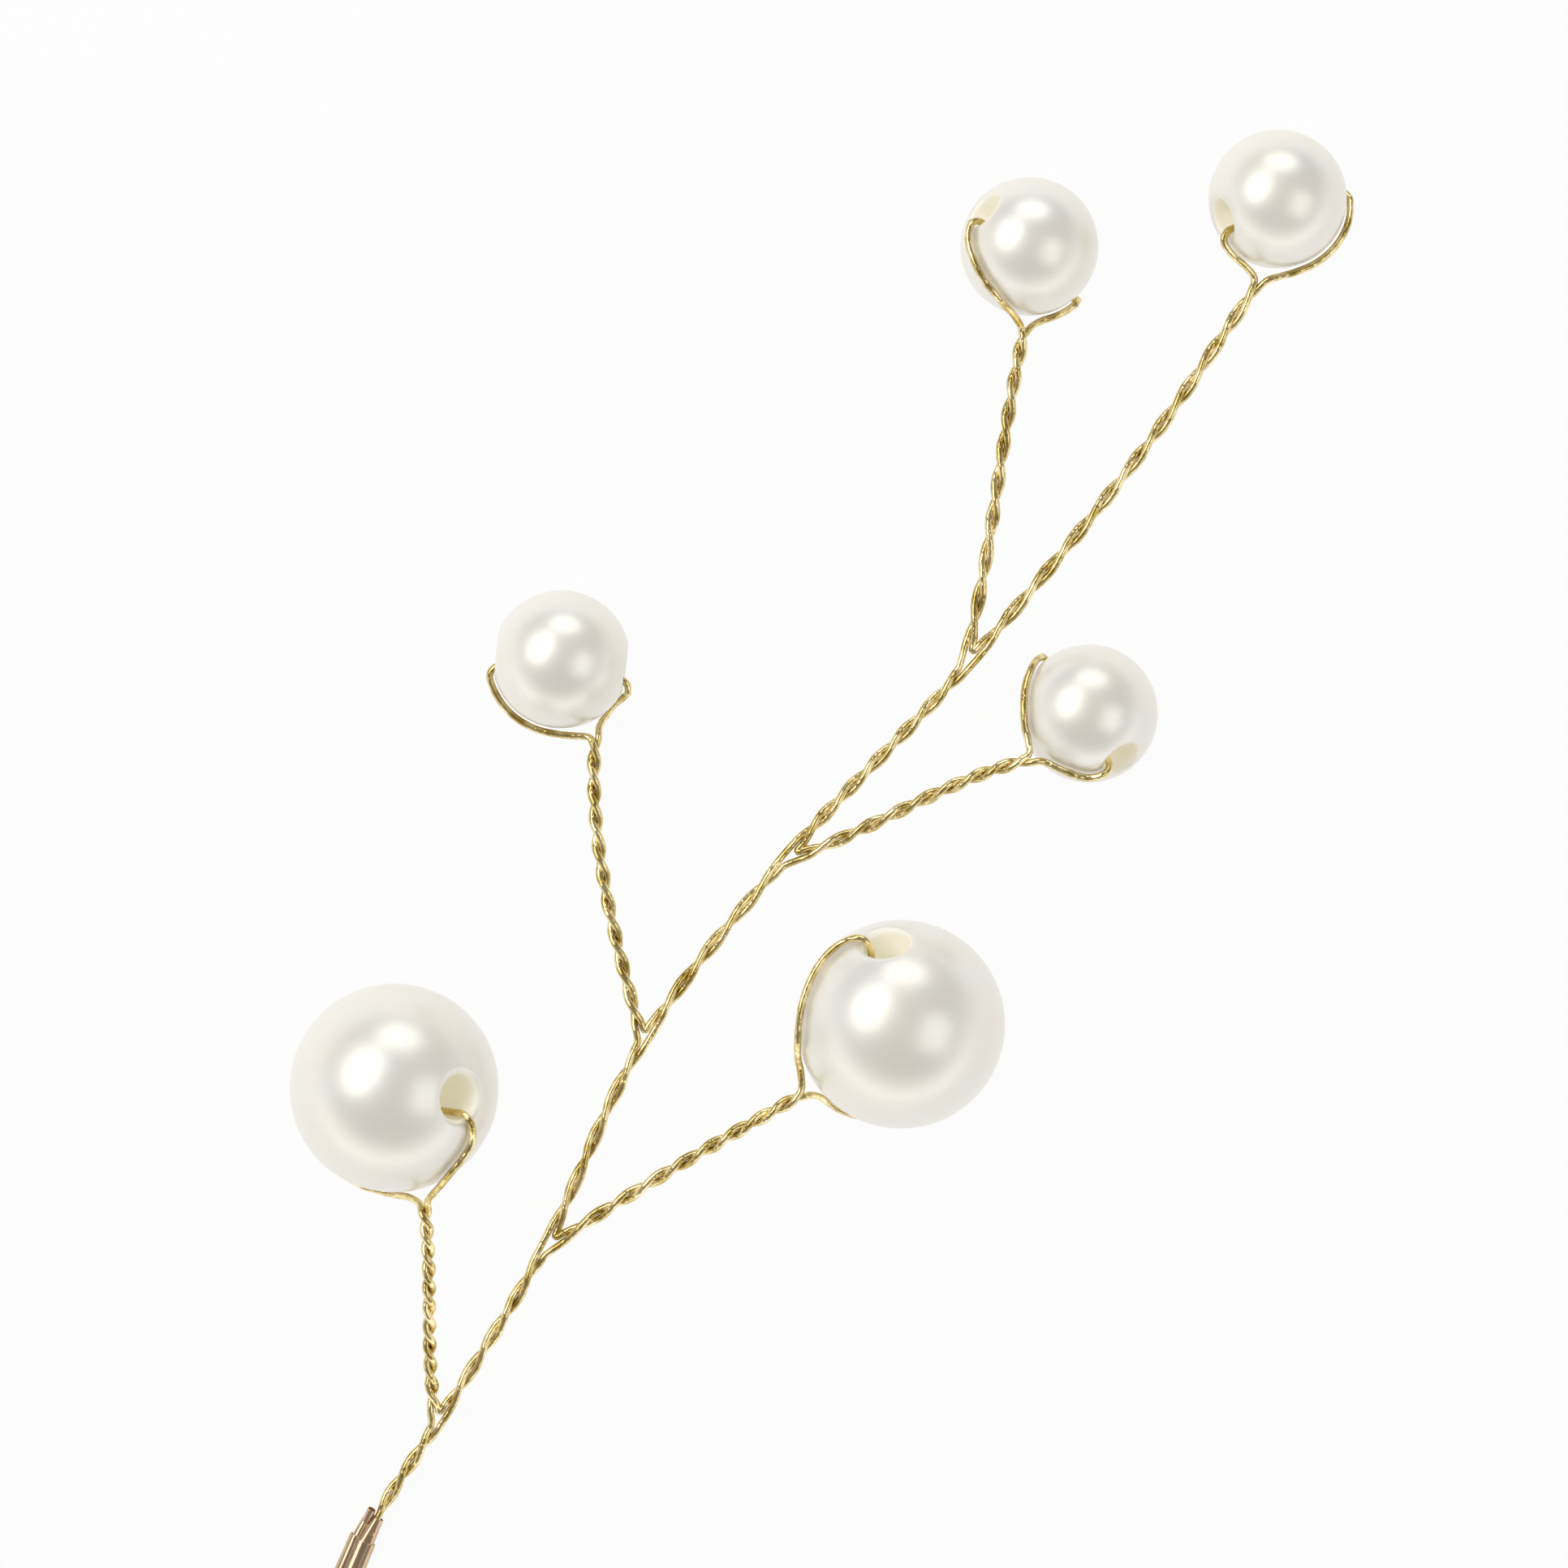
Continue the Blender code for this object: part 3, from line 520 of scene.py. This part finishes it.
topRun = twistedWire(topPearl, stemLine, stemPhases[-1], stemFinish, wire["stemPitch"], topPlan)
topEnds = stemLine.beside([stemFinish - wire["lap"]] * 2, stemPhases[-1] + np.array([0.0, math.pi]))
layWire("wire_top", np.concatenate([topEnds[:1], topRun, topEnds[1:]]), True)
print("wire laid")


# crimp ferrule and two-prong pin, bronze

pin = {
    "radius": 0.325 * mm, "crown": 0.4 * mm, "grip": 2.0 * mm, "length": 62.0 * mm, "spread": 10.0 * mm,
    "flare": 15.0 * mm, "waveHeight": 0.5 * mm, "waveLength": 8.0 * mm, "waves": 3, "flick": 0.6 * mm,
    "step": 0.18 * mm, "sides": 20, "legSteps": 420, "crownSteps": 40, "tipSteps": 10, "tipStart": 0.02,
}
ferrule = [  # folded sheet, as tapered sleeves: foot and tip in mm, half widths, half heights, corner power
    {"name": "back", "foot": (0.0, 0.0, -0.28), "tip": (0.0, 5.9, -0.28), "wide": (0.62, 0.5),
     "high": (0.2, 0.16), "power": 0.7, "wall": 0.05, "depth": 0.05},
    {"name": "left_roll", "foot": (-0.40, 0.0, 0.02), "tip": (-0.36, 6.1, 0.02), "wide": (0.5, 0.4),
     "high": (0.5, 0.44), "power": 1.0, "wall": 0.06, "depth": 0.4},
    {"name": "right_wrap", "foot": (0.25, 0.0, 0.0), "tip": (0.27, 5.95, 0.0), "wide": (0.67, 0.62),
     "high": (0.5, 0.5), "power": 1.0, "wall": 0.05, "depth": 0.12},
    {"name": "stem_neck", "foot": (0.22, 5.4, 0.02), "tip": (0.42, 7.5, 0.075), "wide": (0.56, 0.36),
     "high": (0.42, 0.48), "power": 1.0, "wall": 0.05, "depth": 1.0},
    {"name": "fold", "foot": (-0.32, 5.6, 0.05), "tip": (-0.2, 7.2, 0.14), "wide": (0.36, 0.24),
     "high": (0.36, 0.22), "power": 1.0, "wall": 0.05, "depth": 0.05},
    {"name": "stub", "foot": (-0.2, 6.9, 0.1), "tip": (-0.1, 7.9, 0.45), "wide": (0.25, 0.25),
     "high": (0.22, 0.23), "power": 1.0, "wall": 0.05, "depth": 0.6},
]
bronzeFinish = {
    "light": (0.68, 0.50, 0.34, 1), "dark": (0.54, 0.38, 0.245, 1),
    "patch": (700.0, 4.0, 0.6), "scratch": (9000.0, 2.0, 0.6), "scratchStretch": (1.0, 0.08, 1.0),
    "patchRange": (0.3, 0.7), "roughness": 0.14, "patchRough": 0.1, "scratchRough": 0.06,
    "relief": 0.04, "reliefDepth": 0.01 * mm,
}


def bronzeMaterial(plan):
    material, start = newMaterial("rose_bronze")
    place = start.make("ShaderNodeTexCoord", None, None, "Object")
    patch = noise(start, place, *plan["patch"])
    stretched = start.make("ShaderNodeMapping", None, {"Vector": place, "Scale": plan["scratchStretch"]})
    scratch = noise(start, stretched, *plan["scratch"])
    rough = plan["roughness"] + (patch - noiseMean) * plan["patchRough"]
    rough = rough + (scratch - noiseMean) * plan["scratchRough"]
    shader = start.make("ShaderNodeBsdfPrincipled", None, {
        "Base Color": patch.between(*plan["patchRange"]).tint(plan["dark"], plan["light"]), "Metallic": 1.0,
        "Roughness": rough, "Normal": scratch.bump(plan["relief"], plan["reliefDepth"])})
    start.make("ShaderNodeOutputMaterial", None, {"Surface": shader})
    return material


bronze = bronzeMaterial(bronzeFinish)


def pinPath(plan):
    # x(y) = crown + flare S(y) + wave sin(2 pi w) sin(pi w / n) + flick f(y)^2, mirrored over a round crown
    height = np.linspace(0.0, -plan["length"], plan["legSteps"])
    waveEnd = -plan["flare"] - plan["waves"] * plan["waveLength"]
    flare = np.clip(-height / plan["flare"], 0.0, 1.0)
    wave = (-plan["flare"] - height) / plan["waveLength"]
    swell = np.sin(math.pi * np.clip(wave / plan["waves"], 0.0, 1.0))
    flick = np.clip((waveEnd - height) / (waveEnd + plan["length"]), 0.0, 1.0)
    side = plan["crown"] + flare ** 2 * (3 - 2 * flare) * (plan["spread"] / 2 - plan["crown"])
    side = side + plan["waveHeight"] * swell * np.sin(2 * math.pi * wave) + plan["flick"] * flick ** 2
    drop = -height / plan["length"] * (tableHeight + plan["radius"])
    leg = np.stack([side, height, drop], axis=1)
    turn = np.linspace(0.0, math.pi, plan["crownSteps"])
    crown = plan["crown"] * np.stack([np.cos(turn), np.sin(turn), 0 * turn], axis=1)
    crown = crown + np.array([0.0, plan["grip"], 0.0])
    return np.concatenate([leg[::-1], crown, leg * np.array([-1.0, 1.0, 1.0])])


pinLine = Line(pinPath(pin))
stations = np.linspace(0.0, pinLine.length, int(pinLine.length / pin["step"]))
fromTip = np.minimum(stations, pinLine.length - stations)
tipStations = pin["radius"] * (1 - np.cos(np.linspace(pin["tipStart"], math.pi / 2, pin["tipSteps"])))
stations = np.concatenate([tipStations, stations[fromTip > pin["radius"]],
                           pinLine.length - tipStations[::-1]])
fromTip = np.clip(np.minimum(stations, pinLine.length - stations) / pin["radius"], 0.0, 1.0)
pinScales = np.sqrt(1 - (1 - fromTip) ** 2)  # half-round ends
makePiece("two_prong_pin", [tube(pinLine.at(stations), pin["radius"], pin["sides"], pinScales)],
          bronze, "sprig", ["hair_pin"])


def sleeve(plan, sides=64, rings=12, lipRings=5):
    # P(s, t) = F + s A + a(s) sgn(cos t) |cos t|^p U + b(s) sgn(sin t) |sin t|^p V
    # the tip is rolled in and open
    foot, tip = mm * np.array(plan["foot"]), mm * np.array(plan["tip"])
    axis = unit(tip - foot)
    across = unit(np.cross(axis, up))
    length = np.linalg.norm(tip - foot)
    wall, depth = plan["wall"] * mm, plan["depth"] * mm
    roll = np.linspace(0.0, math.pi, lipRings)
    along = np.concatenate([np.linspace(0.0, length - wall, rings), length - wall / 2 * (1 - np.sin(roll)),
                            [length - depth]])[:, None]
    inset = np.concatenate([np.zeros(rings), wall / 2 * (1 - np.cos(roll)), [wall]])[:, None]
    share = along / length
    angle = np.linspace(0, 2 * math.pi, sides, endpoint=False)[None, :]
    wide = mm * (plan["wide"][0] + (plan["wide"][1] - plan["wide"][0]) * share) - inset
    high = mm * (plan["high"][0] + (plan["high"][1] - plan["high"][0]) * share) - inset
    side = wide * np.sign(np.cos(angle)) * np.abs(np.cos(angle)) ** plan["power"]
    rise = high * np.sign(np.sin(angle)) * np.abs(np.sin(angle)) ** plan["power"]
    over = np.cross(across, axis)
    points = foot + along[..., None] * axis + side[..., None] * across + rise[..., None] * over
    rim = np.arange(sides)
    quads = grid(len(along), sides, False, True)[:, ::-1]
    return points.reshape(-1, 3), quads, [rim, rim[::-1] + (len(along) - 1) * sides]


makePiece("folded_ferrule", [sleeve(plan) for plan in ferrule], bronze, "sprig", ["crimp_ferrule"])
print("pin and ferrule made")


# stage: pale floor, soft boxes and a camera straight above

stage = {
    "roll": 22.5, "middle": (5.94 * mm, 56.36 * mm), "plane": 3.5 * mm, "width": 90.92 * mm,
    "lens": 120.0, "sensor": 36.0, "clip": 0.01,
    "floorSize": 6.0, "floorColor": (0.9, 0.9, 0.9, 1), "floorWhite": 0.93,
    "near": (1.5, 1.515, 1.515, 1), "far": (0.30, 0.302, 0.302, 1), "zenith": (0.28, 0.268, 0.25, 1),
    "leanRange": (-0.9, 0.9), "riseRange": (0.0, 0.6), "worldStrength": 1.16,
    "lampColor": (0.95, 0.98, 1.0), "lampReach": 0.45,
}
softBoxes = [  # way: right, up and towards the camera, as the photo shows them; metres and watts
    {"name": "top_box", "way": (0.08, 0.87, 0.49), "shape": "ELLIPSE",
     "wide": 0.36, "high": 0.26, "power": 0.44},
    {"name": "top_core", "way": (0.08, 0.87, 0.49), "shape": "ELLIPSE",
     "wide": 0.16, "high": 0.1, "power": 0.06},
    {"name": "side_box", "way": (-0.55, 0.32, 0.77), "shape": "ELLIPSE",
     "wide": 0.46, "high": 0.34, "power": 0.84},
    {"name": "side_core", "way": (-0.55, 0.32, 0.77), "shape": "ELLIPSE",
     "wide": 0.2, "high": 0.16, "power": 0.12},
    {"name": "fill_box", "way": (0.60, -0.16, 0.78), "shape": "RECTANGLE",
     "wide": 0.3, "high": 0.26, "power": 0.28},
]
photoRight, photoUp = heading(stage["roll"]), heading(stage["roll"] + 90)
target = np.array([*stage["middle"], stage["plane"]])

floorMaterial, start = newMaterial("pale_table")
ray = start.make("ShaderNodeLightPath", None, None, "Is Camera Ray")
glossy = start.make("ShaderNodeLightPath", None, None, "Is Glossy Ray")
clear = start.make("ShaderNodeLightPath", None, None, "Is Transmission Ray")
seen = ray.maths("MAXIMUM", ray, glossy.maths("MAXIMUM", glossy, clear))
matt = start.make("ShaderNodeBsdfDiffuse", None, {"Color": stage["floorColor"]})
white = start.make("ShaderNodeEmission", None, {"Color": (1, 1, 1, 1), "Strength": 1.0})
mixed = start.make("ShaderNodeMixShader", None, {0: seen * stage["floorWhite"], 1: matt, 2: white})
start.make("ShaderNodeOutputMaterial", None, {"Surface": mixed})
reach = stage["floorSize"]
floorMesh = bpy.data.meshes.new("table")
floorMesh.from_pydata([(-reach, -reach, tableHeight), (reach, -reach, tableHeight),
                       (reach, reach, tableHeight), (-reach, reach, tableHeight)], [], [(0, 1, 2, 3)])
floorMesh.materials.append(floorMaterial)
floor = bpy.data.objects.new("table", floorMesh)
bpy.context.scene.collection.objects.link(floor)

world = bpy.data.worlds.new("studio")
world.use_nodes = True
world.node_tree.nodes.clear()
start = Value(world.node_tree)
way = start.make("ShaderNodeTexCoord", None, None, "Generated")
east, north, rise = [start.make("ShaderNodeSeparateXYZ", None, {0: way}, axis) for axis in "XYZ"]
lean = east * float(photoUp[0]) + north * float(photoUp[1])
low = lean.between(*stage["leanRange"]).tint(stage["near"], stage["far"])
sky = start.make("ShaderNodeBackground", None, {
    "Color": rise.between(*stage["riseRange"]).tint(low, stage["zenith"]),
    "Strength": stage["worldStrength"]})
start.make("ShaderNodeOutputWorld", None, {"Surface": sky})
bpy.context.scene.world = world

for box in softBoxes:
    light = bpy.data.lights.new(box["name"], "AREA")
    light.shape = box["shape"]
    light.size, light.size_y = box["wide"], box["high"]
    light.energy = box["power"]
    light.color = stage["lampColor"]
    lamp = bpy.data.objects.new(box["name"], light)
    direction = unit(box["way"][0] * photoRight + box["way"][1] * photoUp + box["way"][2] * up)
    lamp.location = target + stage["lampReach"] * direction
    lamp.rotation_euler = Vector(direction).to_track_quat("Z", "Y").to_euler()
    bpy.context.scene.collection.objects.link(lamp)

lens = bpy.data.cameras.new("photo_camera")
lens.lens = stage["lens"]
lens.sensor_width = stage["sensor"]
lens.clip_start = stage["clip"]
camera = bpy.data.objects.new("photo_camera", lens)
camera.location = target + up * stage["width"] * stage["lens"] / stage["sensor"]
camera.rotation_euler = (0.0, 0.0, math.radians(stage["roll"]))
bpy.context.scene.collection.objects.link(camera)
bpy.context.scene.camera = camera
bpy.context.scene.view_settings.view_transform = "Standard"
print("stage set")
